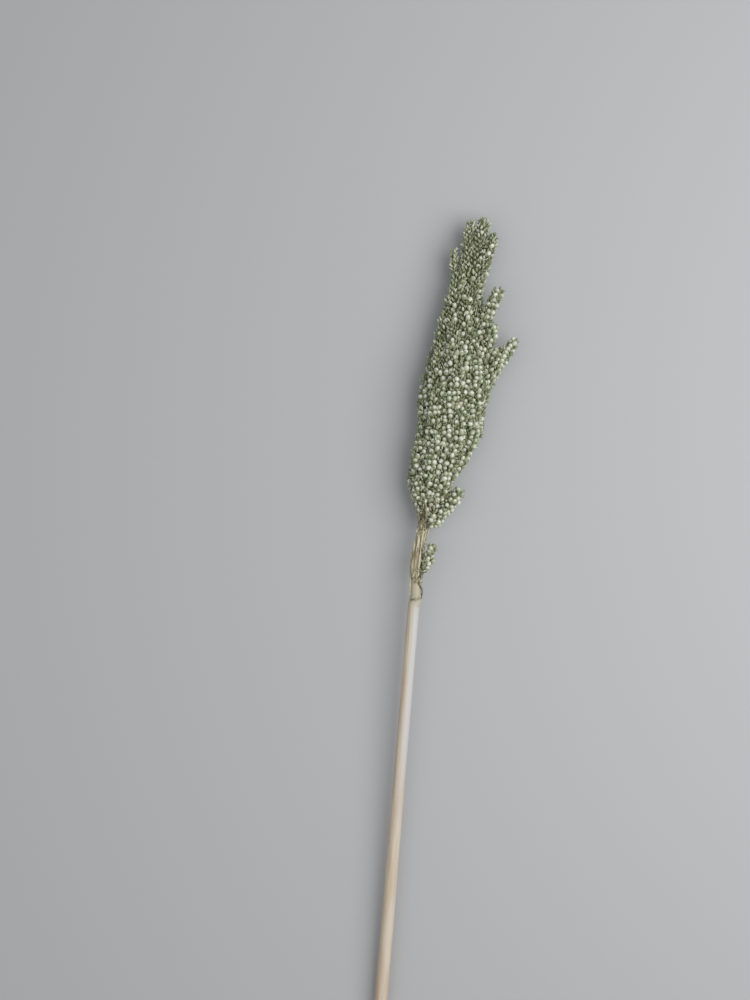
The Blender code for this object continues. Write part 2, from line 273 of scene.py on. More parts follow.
# Grains: size and length against the mean, lean towards the branch's tip in degrees, shift
# outwards in millimetres, and the share of a length that a grain's middle keeps off the floor.
# Its glumes are wider than it by a little, and its stalk starts this far in and back from its seat
GRAIN_FULLNESS = (0.84, 1.10)
GRAIN_LONGER = (0.94, 1.06)
GRAIN_LEAN = (15, 75)
GRAIN_WOBBLE = 0.45
GRAIN_OUT = (-0.7, 0.5)
GRAIN_OFF_FLOOR = 0.62
GLUMES_WIDER = (0.98, 1.08)
STALK_RADIUS = 0.36 * MM
STALK_IN = 3.0 * MM
STALK_BACK = 2.4 * MM
STALK_INTO_GRAIN = 0.3 * MM

# Empty spikelets: length of a scale against the mean, width against that length, lean and share
# of its length that is sunk in. They stand out in clumps, this many to a metre, by up to this
# many millimetres, and what stands out is painted paler, as painted light on the raised clumps and
# painted shade on the sunk ones. A seat this near a tip holds a rosette
SCALE_LONGER = (0.65, 1.30)
SCALE_WIDTH = (0.40, 0.66)
SCALE_LEAN = (34, 86)
SCALE_WOBBLE = 0.50
SCALE_SUNK = 0.25
SCALE_OFF_FLOOR = 0.3 * MM
ROSETTE_FROM = 0.95
CLUMPS = 230
CLUMP_RAISES = 1.4
CLUMP_PAINTED_LIGHT = 0.8
# Their mean tone, the painted shade that darkens them among ripe grains, where the gaps between grains
# lie in shade, and the tone's spread at a seat and at a scale
EMPTY_TONE = 0.58
SHADE_AMONG_RIPE_GRAINS = 0.30
SEAT_TONE_SPREAD = 0.35
SCALE_TONE_SPREAD = 0.3

# The inner mass: how far it stays under the head's outline, and its lumps, coarse and fine
CORE_UNDER = 7.0 * MM
CORE_LEAST = 1.6 * MM
CORE_LUMP = 1.6 * MM
CORE_LUMPS = (420, 900)

# The branches' axes, which end two of their points short of the tip
AXIS_RADIUS = 1.5 * MM
AXIS_TAPER = 0.65
AXIS_POINTS = 18
AXIS_SHORT = 2

# Where the culm's skin has its rings of corners, from the cut end up: (from, to, count)
CULM_STATIONS = ((-394, -8, 90), (-7.5, 5, 42), (6, 100, 40))
CULM_SIDES = 44

# The ring's scar, in millimetres below the ring's middle, and how far it rises to the right. The
# cut end has a rind, and its pith has sunk
SCAR_BELOW = 0.6
SCAR_TILT = 1.3
SCAR_REACH = 1.15
RIND = 0.55 * MM
PITH_EDGE = 0.25 * MM
PITH_SUNK = 0.7 * MM

# Relief of the culm's skin in millimetres: ribs, dents, and at the ring a torn edge and a groove
RIBS_ROUND = 17
RIB = 0.03
DENT = 0.10
TORN_EDGE = 0.4
EDGE_REACH = 1.1
GROOVE = 0.22
GROOVE_BELOW = 1.2
GROOVE_REACH = 0.4

# Its colour: patches and flecks to a metre, the stations between which the painted light on the
# right side comes up in full, and how far below the ring the green fades out
PATCHES = 480
FLECKS = 760
SIDE_LIGHT_FROM = (-170 * MM, -90 * MM)
GREEN_BELOW = 9 * MM

# Bands of the head that are each one piece: name, from, to
BANDS = (
    ("low", 0.0, 110 * MM),
    ("middle", 110 * MM, 160 * MM),
    ("high", 160 * MM, 1.0),
)

# The camera looks straight down. The picture's height covers this much of the plant's plane
PICTURE_HEIGHT = 0.68
PICTURE_TURN = math.radians(4.67)
PICTURE_CENTRE = Vector((-32.9 * MM, 64.2 * MM, 0))
LENS = 70.0
SENSOR = 36.0

# Soft lights: (name, place from the picture's middle in metres, size in metres, power in watts)
LIGHTS = (("key", (0.62, 0.12, 0.86), 1.0, 10.1), ("fill", (-0.7, -0.3, 1.7), 1.6, 5.2))
ROOM_COLOUR = "#DCDFE2"
ROOM_LIGHT = 0.55
FLOOR_SIZE = 6.0

Branch = namedtuple("Branch", "path radii")
Seat = namedtuple("Seat", "place outwards direction share ripeness layer")
Pattern = namedtuple("Pattern", "across along detail")

# Patterns by the size of their lumps. A grain's wrinkles, a husk's ribs and the straw's fibres
# are 0.1 to 0.3 mm apart, too fine to show, so they are drawn a few times as coarse
MOTTLE = Pattern(1.43 * MM, 1.43 * MM, 3.0)
WRINKLES = Pattern(0.715 * MM, 0.715 * MM, 2.0)
RIBS = Pattern(0.625 * MM, 0.625 * MM, 2.0)
CULM_FIBRES = Pattern(1.1 * MM, 70 * MM, 4.0)
CULM_PATCHES = Pattern(3.8 * MM, 45 * MM, 4.0)
STRAND_FIBRES = Pattern(1.2 * MM, 18 * MM, 4.0)


def linear(hex_colour):
    """An sRGB hex colour as linear red, green, blue and an alpha of one."""
    channels = [int(hex_colour[i : i + 2], 16) / 255 for i in (1, 3, 5)]
    return (*[c / 12.92 if c <= 0.04045 else ((c + 0.055) / 1.055) ** 2.4 for c in channels], 1.0)


def ring_place():
    """Foot of the rachis at the node ring, in the frame: the culm's length past the stem's cut
    end. The lower edge of that end leans out a little, because the culm slopes.
    """
    corners = np.array([corner.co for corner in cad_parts["stem"].data.vertices])
    low = corners[:, 1].min()
    cut_end = corners[corners[:, 1] < low + MM]
    lean = CUT_END_RADIUS * (AXIS_HEIGHT - CUT_END_RADIUS) / CULM_LENGTH
    return Vector((float(cut_end[:, 0].mean()) - CULM_SHIFT, float(low) + CULM_LENGTH + lean, 0))


RING = ring_place()


class SorghumSizes(bpy.types.PropertyGroup):
    """Sizes of the grains and of what stands between them."""

    grain_width: FloatProperty(
        name="Grain width",
        description="Width of a ripe grain",
        default=3.75 * MM,
        unit="LENGTH",
    )
    grain_length: FloatProperty(
        name="Grain length",
        description="Length of a ripe grain from its glumes to its crown",
        default=4.2 * MM,
        unit="LENGTH",
    )
    spacing: FloatProperty(
        name="Grain spacing",
        description="Least distance between the middles of two grains",
        default=3.05 * MM,
        unit="LENGTH",
    )
    spikelet_spacing: FloatProperty(
        name="Spikelet spacing",
        description="Least distance between the feet of two empty spikelets",
        default=1.55 * MM,
        unit="LENGTH",
    )
    spikelet_length: FloatProperty(
        name="Spikelet length",
        description="Length of an empty, pointed spikelet",
        default=3.1 * MM,
        unit="LENGTH",
    )
    strand_count: IntProperty(
        name="Bare strands",
        description="Number of bare branch feet that climb the rachis",
        default=8,
        min=3,
    )


class SorghumColours(bpy.types.PropertyGroup):
    """Colours of the dried plant and the floor."""

    grain: FloatVectorProperty(
        name="Grain",
        description="Crown of a ripe grain",
        default=linear("#D3D5C8"),
        size=4,
        subtype="COLOR",
    )
    glume: FloatVectorProperty(
        name="Glume",
        description="Husks that hold the grain",
        default=linear("#A9AE95"),
        size=4,
        subtype="COLOR",
    )
    straw: FloatVectorProperty(
        name="Straw",
        description="Dried culm",
        default=linear("#CABDA9"),
        size=4,
        subtype="COLOR",
    )
    floor: FloatVectorProperty(
        name="Floor",
        description="Plain pale floor",
        default=linear("#AEAEAF"),
        size=4,
        subtype="COLOR",
    )


def from_axis(along, across, height):
    """A place given in millimetres from the ring's centre."""
    return Vector((across * MM, along * MM, AXIS_HEIGHT + height * MM))


def at_station(table, along, column):
    """A length in metres from a column of a table in millimetres, at a station."""
    return float(np.interp(along, [row[0] * MM for row in table], [row[column] * MM for row in table]))


def section(along):
    """Middle and half axes (across, up) of the head's oval outline at a station."""
    left = at_station(OUTLINE, along, 1)
    right = at_station(OUTLINE, along, 2)
    half_width = (right - left) / 2
    past = max(0.0, along - DROOP_START) / (LAST_TIP - DROOP_START)
    height = AXIS_HEIGHT - TIP_DROOP * past**2
    middle = Vector(((left + right) / 2, along, height))
    return middle, Vector((half_width, 0, DEPTH_SHARE * half_width))


def tip_stations():
    """Where the ruled branches end, closer together where the head below them is wide."""
    stations = np.linspace(FIRST_TIP, LAST_TIP, 4 * RULED_BRANCHES)
    crowding = np.cumsum([section(along - CROWDED_BELOW)[1].x for along in stations])
    shares = (np.arange(RULED_BRANCHES) + 0.5) / RULED_BRANCHES
    return [float(along) for along in np.interp(shares * crowding[-1], crowding, stations)]


def ruled_branch(number, tip, draw):
    """A branch that leaves the core and runs up just under the head's outline."""
    share = (tip - FIRST_TIP) / (LAST_TIP - FIRST_TIP)
    length = LONGEST_BRANCH + (SHORTEST_BRANCH - LONGEST_BRANCH) * share
    length *= draw.uniform(1 - LENGTH_SPREAD, 1 + LENGTH_SPREAD)
    foot = max(CORE_START, tip - length)
    azimuth = number * GOLDEN_ANGLE
    wander = draw.uniform(-BRANCH_WANDER, BRANCH_WANDER)
    path = []
    radii = []
    for point in range(PATH_POINTS):
        grown = point / (PATH_POINTS - 1)
        along = foot + (tip - foot) * grown
        middle, half = section(along)
        radius = min(BRANCH_RADIUS, MOST_OF_HEAD * half.x)
        if grown < LIFTED_AT:
            lift = FOOT_LIFT + (1 - FOOT_LIFT) * grown / LIFTED_AT
        else:
            lift = 1 + (TIP_LIFT - 1) * (grown - LIFTED_AT) / (1 - LIFTED_AT)
        angle = azimuth + wander * grown
        across = (half.x - radius) * math.cos(angle)
        up = (half.z - radius) * math.sin(angle)
        place = middle + lift * Vector((across, 0, up))
        place.z = max(place.z, PRESSED_SHARE * radius)
        path.append(place)
        radii.append(radius * (1 - TAPER * grown**3))
    return Branch(path, radii)


def free_branch(foot, bend, tip, radius, tip_radius):
    """A branch that stands clear of the rest, bent once on a smooth curve."""
    foot, bend, tip = from_axis(*foot), from_axis(*bend), from_axis(*tip)
    path = []
    radii = []
    for point in range(PATH_POINTS):
        grown = point / (PATH_POINTS - 1)
        path.append(foot * (1 - grown) ** 2 + bend * 2 * grown * (1 - grown) + tip * grown**2)
        radii.append((radius + (tip_radius - radius) * grown**2) * MM)
    return Branch(path, radii)


def all_branches():
    """Every branch of the head, the ruled ones first."""
    draw = random.Random(SEED)
    branches = [ruled_branch(number, tip, draw) for number, tip in enumerate(tip_stations())]
    branches += [free_branch(*row) for row in FREE_BRANCHES.values()]
    return branches


def along_branch(branch, share):
    """Place, direction and radius at a share of a branch's length."""
    last = len(branch.path) - 2
    step = min(int(share * (last + 1)), last)
    part = share * (last + 1) - step
    start, end = branch.path[step], branch.path[step + 1]
    radius = branch.radii[step] * (1 - part) + branch.radii[step + 1] * part
    return start.lerp(end, part), (end - start).normalized(), radius


def branch_length(branch):
    """Length of a branch along its path."""
    return sum((b - a).length for a, b in zip(branch.path, branch.path[1:]))


def depth_in(points, rods):
    """How deep each point lies in each tapering rod, negative where it is outside."""
    starts = np.array([row[0] for row in rods])
    ends = np.array([row[1] for row in rods])
    radii = np.array([row[2:4] for row in rods])
    axes = ends - starts
    offsets = points[:, None, :] - starts[None]
    shares = (offsets * axes).sum(axis=2) / (axes * axes).sum(axis=1)
    shares = shares.clip(0, 1)
    distances = np.linalg.norm(offsets - shares[:, :, None] * axes, axis=2)
    return radii[:, 0] + shares * (radii[:, 1] - radii[:, 0]) - distances


def rods_of(branch):
    """A branch as tapering rods between the points of its path, the last one to a narrow tip."""
    radii = [*branch.radii[:-1], min(branch.radii[-1], at_station(TIPS, branch.path[-1].y, 1))]
    steps = zip(branch.path, branch.path[1:], radii, radii[1:])
    return [(tuple(start), tuple(end), wide, narrow) for start, end, wide, narrow in steps]


def out_of_sight(place):
    """Whether a place is so deep in the head that nothing shows there."""
    middle, half = section(place.y)
    wide, high = half.x - UNSEEN_BELOW, half.z - UNSEEN_BELOW
    if min(wide, high) <= 0 or not CORE_START < place.y < CORE_END:
        return False
    return math.hypot((place.x - middle.x) / wide, (place.z - middle.z) / high) < 1


def on_bare_foot(place):
    """Whether a place is among the bare branch feet, whose upper limit is ragged."""
    limit = BARE_BELOW + RAGGED_BY * noise.noise(place * RAGGED_LUMPS)
    return place.x < BARE_LEFT_OF and BARE_FROM < place.y < limit


def on_free_branch(place):
    """Whether a place is on the low tuft or on a full branch that stands clear on the right."""
    middle, half = section(place.y)
    clear = place.x - middle.x > FREE_FROM * half.x and place.y < RIPE_FREE_BELOW
    return clear or place.y < TUFT_BELOW


def ripeness(place, draw):
    """How ripe what sits at a place is: the foot of the head is full of grain, while its tip
    and its left edge hold mostly small, pointed spikelets.
    """
    middle, half = section(place.y)
    side = (place.x - middle.x) / half.x
    stations = [row[0] * MM for row in RIPENESS]
    ripe = float(np.interp(place.y, stations, [row[1] for row in RIPENESS]))
    if place.y > RIPER_RIGHT_ABOVE:
        ripe += RIPER_RIGHT * max(-1.0, min(FARTHEST_RIGHT, side))
    if on_free_branch(place):
        ripe += FREE_RIPER
    return ripe + draw.uniform(-RIPENESS_SPREAD, RIPENESS_SPREAD)


class SeatMap:
    """Places already taken, found by the cell that they lie in."""

    def __init__(self, reach):
        self.reach = reach
        self.cells = {}

    def cell(self, place):
        """The cell that a place lies in."""
        return tuple(math.floor(value / self.reach) for value in place)

    def is_clear(self, place, spacing):
        """Whether no taken place is closer than a spacing, which is at most the reach."""
        x, y, z = self.cell(place)
        for i in (x - 1, x, x + 1):
            for j in (y - 1, y, y + 1):
                for k in (z - 1, z, z + 1):
                    for other in self.cells.get((i, j, k), ()):
                        if (place - other).length < spacing:
                            return False
        return True

    def take(self, place):
        """Take a place."""
        self.cells.setdefault(self.cell(place), []).append(place)


def candidates_under(branch, deep):
    """Seats a little under a branch's surface, on a spiral from its tip down."""
    count = int(branch_length(branch) / SEAT_STEP)
    short = int(at_station(TIPS, branch.path[-1].y, 2) / SEAT_STEP)
    for turn in range(short, count):
        share = 1 - turn / count
        axis_place, direction, radius = along_branch(branch, share)
        near_tip = max(0.0, share - POINTED_FROM) / (1 - POINTED_FROM)
        radius += (min(radius, at_station(TIPS, axis_place.y, 1)) - radius) * near_tip**2
        if share < SEATS_FROM or radius < deep + LEAST_SEAT:
            continue
        angle = turn * GOLDEN_ANGLE
        aside = Vector((math.cos(angle), 0, math.sin(angle)))
        aside = (aside - direction * aside.dot(direction)).normalized()
        place = axis_place + aside * (radius - deep)
        if not out_of_sight(place):
            yield Seat(place, aside, direction, share, 0.0, 0)


def candidates_in_gaps(deep):
    """Seats a little under the head's oval outline, on a spiral from its foot to near its tip."""
    for turn in range(GAP_SEATS):
        middle, half = section(CORE_START + (CORE_END - CORE_START) * turn / GAP_SEATS)
        angle = turn * GOLDEN_ANGLE
        wide, high = max(half.x - deep, 0.0), max(half.z - deep, 0.0)
        aside = Vector((wide * math.cos(angle), 0, high * math.sin(angle)))
        place = middle + aside
        if aside.length > LEAST_SEAT and place.z > LEAST_SEAT:
            yield Seat(place, aside.normalized(), Vector((0, 1, 0)), 0.5, 0.0, 0)


def open_seats(rows, branches, sunk_at_most, layer, draw):
    """The seats among some rows that no branch covers, in a shuffled order."""
    rows = list(rows)
    if not rows:
        return
    draw.shuffle(rows)
    rods = [rod for branch in branches for rod in rods_of(branch)]
    sunk = depth_in(np.array([tuple(row.place) for row in rows]), rods).max(axis=1)
    for row, depth in zip(rows, sunk):
        if depth < sunk_at_most:
            yield row._replace(ripeness=ripeness(row.place, draw), layer=layer)


def seats_in_layers(branches, layers, draw, gap_layers):
    """Open seats of every branch, the outer layer first, then those of the gaps."""
    for layer, deep in enumerate(layers):
        for branch in branches:
            rows = candidates_under(branch, deep)
            yield from open_seats(rows, branches, deep + SUNK_AT_MOST, layer, draw)
    for deep in gap_layers:
        yield from open_seats(candidates_in_gaps(deep), branches, GAP_SUNK_AT_MOST, 0, draw)


def planted(branches, ripen, gap_layers=()):
    """Seats of the grains and of the spikelets on some branches. The spikelets keep off the
    grains, so they fill the gaps between them and the places with no ripe grain.
    """
    sizes = bpy.context.scene.sorghum_sizes
    draw = random.Random(SEED + 3)
    every_seat = SeatMap(sizes.spacing)
    ripe_places = SeatMap(sizes.spacing)
    grains = []
    for seat in seats_in_layers(branches, GRAIN_LAYERS, draw, gap_layers):
        spacing = sizes.spacing * (FREE_CLOSER if on_free_branch(seat.place) else 1)
        if every_seat.is_clear(seat.place, spacing):
            every_seat.take(seat.place)
            if ripen(seat) >= RIPE_FROM and not on_bare_foot(seat.place):
                ripe_places.take(seat.place)
                grains.append(seat)
    spikelets = []
    feet = SeatMap(sizes.spikelet_spacing)
    for seat in seats_in_layers(branches, SPIKELET_LAYERS, draw, gap_layers):
        off_grains = ripe_places.is_clear(seat.place, OFF_GRAINS * sizes.grain_width)
        thinned = on_bare_foot(seat.place) and draw.random() > KEPT_ON_BARE_FOOT
        if off_grains and not thinned and feet.is_clear(seat.place, sizes.spikelet_spacing):
            feet.take(seat.place)
            spikelets.append(seat)
    return grains, spikelets


def tuft_branch():
    """The low tuft as a branch."""
    path = [from_axis(along, across + TUFT_SHIFT, height) for along, across, height in TUFT_AXIS]
    return Branch(path, TUFT_RADII)


def as_template(shape):
    """A bmesh as arrays: its corners, its triangles and how far up each corner is, 0 to 1."""
    bmesh.ops.triangulate(shape, faces=shape.faces)
    shape.verts.index_update()
    corners = np.array([corner.co for corner in shape.verts])
    triangles = np.array([[corner.index for corner in face.verts] for face in shape.faces])
    shape.free()
    low, high = corners[:, 2].min(), corners[:, 2].max()
    return corners, triangles, (corners[:, 2] - low) / (high - low)


def grain_template():
    """A ripe grain of width and length one: widest above its middle, with a small point."""
    swell, flatness, point = 0.10, 0.82, 0.035
    shape = bmesh.new()
    bmesh.ops.create_uvsphere(shape, u_segments=8, v_segments=7, radius=0.5)
    for corner in shape.verts:
        rise = 2 * corner.co.z
        corner.co.x *= 1 + swell * rise
        corner.co.y *= (1 + swell * rise) * flatness
        if rise > 0.98:
            corner.co.z += point
    return as_template(shape)


def husk_template():
    """The pair of glumes round a grain's foot, as one closed cup with two pointed lobes. Its rings
    of corners are its inside, its lobed rim, its belly and its foot.
    """
    rim, lobe, gap, flatness = -0.04, 0.34, 0.07, 0.86
    shape = bmesh.new()
    bmesh.ops.create_uvsphere(shape, u_segments=8, v_segments=4, radius=0.5)
    for corner in shape.verts:
        x, y, z = corner.co
        if z > 0.05:
            corner.co = Vector((0.45 * x, 0.45 * y, -0.12 if z < 0.45 else -0.16))
        elif z > -0.05:
            angle = math.atan2(y, x)
            rise = rim + lobe * abs(math.sin(angle)) ** 3
            reach = math.sqrt(0.25 - rise**2) * (1 + 0.2 * rise) + gap
            corner.co = Vector((reach * math.cos(angle), flatness * reach * math.sin(angle), rise))
        elif z > -0.45:
            corner.co = Vector((1.02 * x, 0.88 * y, z - 0.02))
        else:
            corner.co.z = -0.60
    return as_template(shape)


def spikelet_template():
    """One scale of an empty spikelet, of width and length one: oval, flat and sharply pointed."""
    roundness, flatness, bow = 0.8, 0.55, 0.10
    shape = bmesh.new()
    bmesh.ops.create_uvsphere(shape, u_segments=5, v_segments=4, radius=0.5)
    for corner in shape.verts:
        rise = corner.co.z + 0.5
        radius = math.hypot(corner.co.x, corner.co.y)
        if radius > 0:
            wanted = 0.5 * math.sin(math.pi * rise**roundness) ** roundness
            corner.co.x *= wanted / radius
            corner.co.y *= flatness * wanted / radius
        corner.co.y += bow * rise**2
        corner.co.z = rise
    return as_template(shape)


def stalk_template():
    """A short stalk of radius and length one, narrower at its upper end."""
    shape = bmesh.new()
    bmesh.ops.create_cone(shape, cap_ends=True, segments=5, radius1=1.0, radius2=0.8, depth=1.0)
    for corner in shape.verts:
        corner.co.z += 0.5
    return as_template(shape)


def turned(place, axis, roll, scale):
    """A matrix that puts Z along an axis, rolls round it and scales."""
    turn = axis.to_track_quat("Z", "Y").to_matrix().to_4x4()
    return Matrix.Translation(place) @ turn @ Matrix.Rotation(roll, 4, "Z") @ Matrix.Diagonal((*scale, 1))


def scatter(name, template, matrices, tones):
    """One mesh of many copies of a template. Each copy keeps a tone of its own."""
    corners, triangles, rise = template
    stack = np.array([np.array(matrix) for matrix in matrices])
    placed = np.einsum("nij,vj->nvi", stack[:, :3, :3], corners) + stack[:, None, :3, 3]
    offsets = np.arange(len(stack))[:, None, None] * len(corners)
    faces = (triangles[None] + offsets).reshape(-1, 3)
    mesh = bpy.data.meshes.new(name)
    mesh.from_pydata(placed.reshape(-1, 3).tolist(), [], faces.tolist())
    keep_values(mesh, "tone", np.repeat(tones, len(corners)))
    keep_values(mesh, "rise", np.tile(rise, len(stack)))
    return finished(name, mesh)


def keep_values(mesh, name, values):
    """Keep one number for each corner of a mesh."""
    attribute = mesh.attributes.new(name, "FLOAT", "POINT")
    attribute.data.foreach_set("value", np.asarray(values, np.float32))


def finished(name, mesh):
    """An object in the scene, with a mesh that was made round the ring moved to its place."""
    mesh.transform(Matrix.Translation(RING))
    mesh.shade_smooth()
    made = bpy.data.objects.new(name, mesh)
    bpy.context.scene.collection.objects.link(made)
    return made


def placed_piece(piece, material, node):
    """Give a piece its material by name and its body, and hide the solid that it stands for."""
    piece.data.materials.clear()
    piece.data.materials.append(material_of(material))
    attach(piece, "root")
    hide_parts(node)


def leaning(seat, lean, wobble, draw):
    """Outwards from the branch, leaning towards its tip by an angle from a range in degrees, and
    a little at random.
    """
    angle = math.radians(draw.uniform(*lean))
    axis = seat.outwards * math.cos(angle) + seat.direction * math.sin(angle)
    return (axis + Vector([draw.uniform(-wobble, wobble) for _ in range(3)])).normalized()


def grain_rows(seats, draw):
    """Where the grains, their glumes and their stalks go, and a tone for each grain."""
    sizes = bpy.context.scene.sorghum_sizes
    grains, husks, stalks, tones = [], [], [], []
    for seat in seats:
        full = draw.uniform(*GRAIN_FULLNESS)
        axis = leaning(seat, GRAIN_LEAN, GRAIN_WOBBLE, draw)
        width = sizes.grain_width * full
        length = sizes.grain_length * full * draw.uniform(*GRAIN_LONGER)
        place = seat.place + seat.outwards * draw.uniform(*GRAIN_OUT) * MM
        place.z = max(place.z, GRAIN_OFF_FLOOR * length)
        roll = draw.uniform(0, math.tau)
        grains.append(turned(place, axis, roll, (width, width, length)))
        husk_width = width * draw.uniform(*GLUMES_WIDER)
        husks.append(turned(place, axis, roll, (husk_width, husk_width, length)))
        foot = place - axis * 0.5 * length
        root = seat.place - seat.outwards * STALK_IN - seat.direction * STALK_BACK
        run = foot - root
        size = (STALK_RADIUS, STALK_RADIUS, run.length + STALK_INTO_GRAIN)
        stalks.append(turned(root, run.normalized(), 0, size))
        tones.append(draw.random())
    return grains, husks, stalks, tones


def spikelet_rows(seats, draw):
    """Where the scales of the empty spikelets go: a gaping pair at each outer seat, one at each
    inner seat, and a rosette of four at a branch's tip. Each scale has a tone of its own.
    """
    sizes = bpy.context.scene.sorghum_sizes
    rows, tones = [], []
    for seat in seats:
        count = 4 if seat.share > ROSETTE_FROM else 2 if seat.layer == 0 else 1
        clump = noise.noise(seat.place * CLUMPS)
        # Painted shade darkens the spikelets among ripe grains, and painted light makes a raised clump
        # paler and a sunk one darker
        tone = EMPTY_TONE - SHADE_AMONG_RIPE_GRAINS * min(1.0, seat.ripeness) + CLUMP_PAINTED_LIGHT * clump
        tone += draw.uniform(-SEAT_TONE_SPREAD, SEAT_TONE_SPREAD)
        for _ in range(count):
            axis = leaning(seat, SCALE_LEAN, SCALE_WOBBLE, draw)
            length = sizes.spikelet_length * draw.uniform(*SCALE_LONGER)
            place = seat.place - axis * SCALE_SUNK * length + seat.outwards * CLUMP_RAISES * clump * MM
            place.z = max(place.z, SCALE_OFF_FLOOR - min(0.0, axis.z) * length)
            width = length * draw.uniform(*SCALE_WIDTH)
            rows.append(turned(place, axis, draw.uniform(0, math.tau), (width, width, length)))
            own = tone + draw.uniform(-SCALE_TONE_SPREAD, SCALE_TONE_SPREAD)
            tones.append(min(1.0, max(0.0, own)))
    return rows, tones


def sweep(shape, path, radii, sides, flatness=1.0, roll=0.0, twist=0.0):
    """Add a closed tube along a path to a bmesh, oval and twisted if asked."""
    rings = []
    last = len(path) - 1
    for step, (place, radius) in enumerate(zip(path, radii)):
        ahead = path[min(step + 1, last)] - path[max(step - 1, 0)]
        turn = ahead.to_track_quat("Y", "Z")
        spin = roll + twist * step / last
        ring = []
        for side in range(sides):
            angle = side * math.tau / sides
            flat = Vector((radius * math.cos(angle), 0, flatness * radius * math.sin(angle)))
            flat.rotate(Matrix.Rotation(spin, 3, "Y"))
            ring.append(shape.verts.new(place + turn @ flat))
        rings.append(ring)
    for ring, next_ring in zip(rings, rings[1:]):
        for side in range(sides):
            other = (side + 1) % sides
            shape.faces.new((ring[side], next_ring[side], next_ring[other], ring[other]))
    shape.faces.new(rings[0])
    shape.faces.new(rings[-1][::-1])
    return rings


def smooth_path(points, count):
    """Points evenly along a smooth curve through a few places."""
    places = np.array([tuple(point) for point in points])
    padded = np.vstack([2 * places[0] - places[1], places, 2 * places[-1] - places[-2]])
    made = []
    for value in np.linspace(0, len(places) - 1, count):
        k = min(int(value), len(places) - 2)
        t = value - k
        p0, p1, p2, p3 = padded[k : k + 4]
        curve = 2 * p1 + (p2 - p0) * t
        curve = curve + (2 * p0 - 5 * p1 + 4 * p2 - p3) * t**2 + (3 * p1 - p0 - 3 * p2 + p3) * t**3
        made.append(Vector((curve / 2).tolist()))
    return made


def closed_mesh(name, shape):
    """A bmesh as a mesh with every face outwards."""
    bmesh.ops.recalc_face_normals(shape, faces=shape.faces)
    mesh = bpy.data.meshes.new(name)
    shape.to_mesh(mesh)
    shape.free()
    return mesh


def add_node(tree, kind, inputs=None, links=None, **settings):
    """Add a node with its settings, its sockets' values and the sockets that feed it."""
    made = tree.nodes.new(kind)
    for name, value in settings.items():
        setattr(made, name, value)
    for socket, value in (inputs or {}).items():
        made.inputs[socket].default_value = value
    for socket, source in (links or {}).items():
        tree.links.new(source, made.inputs[socket])
    return made


def set_ramp(ramp, stops):
    """Give a colour ramp its stops: positions, each with an sRGB hex colour or a linear one."""
    elements = ramp.color_ramp.elements
    while len(elements) > 1:
        elements.remove(elements[-1])
    for number, (position, colour) in enumerate(stops):
        stop = elements.new(position) if number else elements[0]
        stop.position = position
        stop.color = linear(colour) if isinstance(colour, str) else tuple(colour)


def value_at(tree, source):
    """A number at each point: what the mesh keeps under a name, or a pattern's lumps."""
    if isinstance(source, str):
        return add_node(tree, "ShaderNodeAttribute", attribute_name=source).outputs["Fac"]
    place = add_node(tree, "ShaderNodeTexCoord")
    scale = (1 / source.across, 1 / source.along, 1 / source.across)
    stretch = add_node(
        tree, "ShaderNodeMapping", {"Scale": scale}, {"Vector": place.outputs["Object"]}
    )
    lumps = add_node(
        tree,
        "ShaderNodeTexNoise",
        {"Scale": 1.0, "Detail": source.detail},
        {"Vector": stretch.outputs["Vector"]},
    )
    return lumps.outputs["Fac"]


def multiplied(tree, tints):
    """The product of tints. Each is a source, the colour stops that it runs through and how much
    it counts.
    """
    product = None
    for source, stops, share in tints:
        ramp = add_node(tree, "ShaderNodeValToRGB", links={"Fac": value_at(tree, source)})
        set_ramp(ramp, stops)
        colour = ramp.outputs["Color"]
        if product is not None:
            both = add_node(
                tree,
                "ShaderNodeMix",
                {"Factor": share},
                {"A": product, "B": colour},
                data_type="RGBA",
                blend_type="MULTIPLY",
            )
            colour = both.outputs["Result"]
        product = colour
    return product


def new_material(name, roughness, specular):
    """A material with an empty Principled shader, its tree and that shader."""
    material = bpy.data.materials.new(name)
    material.use_nodes = True
    tree = material.node_tree
    shader = tree.nodes["Principled BSDF"]
    shader.inputs["Roughness"].default_value = roughness
    shader.inputs["Specular IOR Level"].default_value = specular
    return material, tree, shader


def dress(tree, shader, colour, pattern, strength, height):
    """Give a shader its colour, and a fine relief from a pattern."""
    tree.links.new(colour, shader.inputs["Base Color"])
    relief = add_node(
        tree,
        "ShaderNodeBump",
        {"Strength": strength, "Distance": height},
        {"Height": value_at(tree, pattern)},
    )
    tree.links.new(relief.outputs["Normal"], shader.inputs["Normal"])


def make_grain(name):
    """Sorghum grain, dried and dusted with chaff: a chalky, low-satin skin over a hard grain.
    Crowns are the palest, each darkens into its husk, partly in its own greener colour and partly
    with painted shade, and one in fifty has dried rosy.
    """
    colours = bpy.context.scene.sorghum_colours
    own = [
        (0.0, "#BDC1AA"),
        (0.2, "#C9CCBA"),
        (0.5, colours.grain),
        (0.86, "#E0E1D6"),
        (0.98, "#DAD6C8"),
        (1.0, "#C9BDA8"),
    ]
    # Darker towards the foot, where the grain sits in its glumes: partly its own greener foot, partly
    # painted shade. The small point at the tip is darker in its own colour
    upwards = [
        (0.20, "#A6AB8F"),
        (0.55, "#D8DBCA"),
        (0.82, "#FFFFFF"),
        (0.97, "#FFFFFF"),
        (1.0, "#BDB79C"),
    ]
    mottle = [(0.30, "#D2D2C4"), (0.62, "#FFFFFF")]
    material, tree, shader = new_material(name, roughness=0.52, specular=0.38)
    tints = [("tone", own, 1.0), ("rise", upwards, 1.0), (MOTTLE, mottle, 0.8)]
    dress(tree, shader, multiplied(tree, tints), WRINKLES, strength=0.35, height=0.15 * MM)
    return material


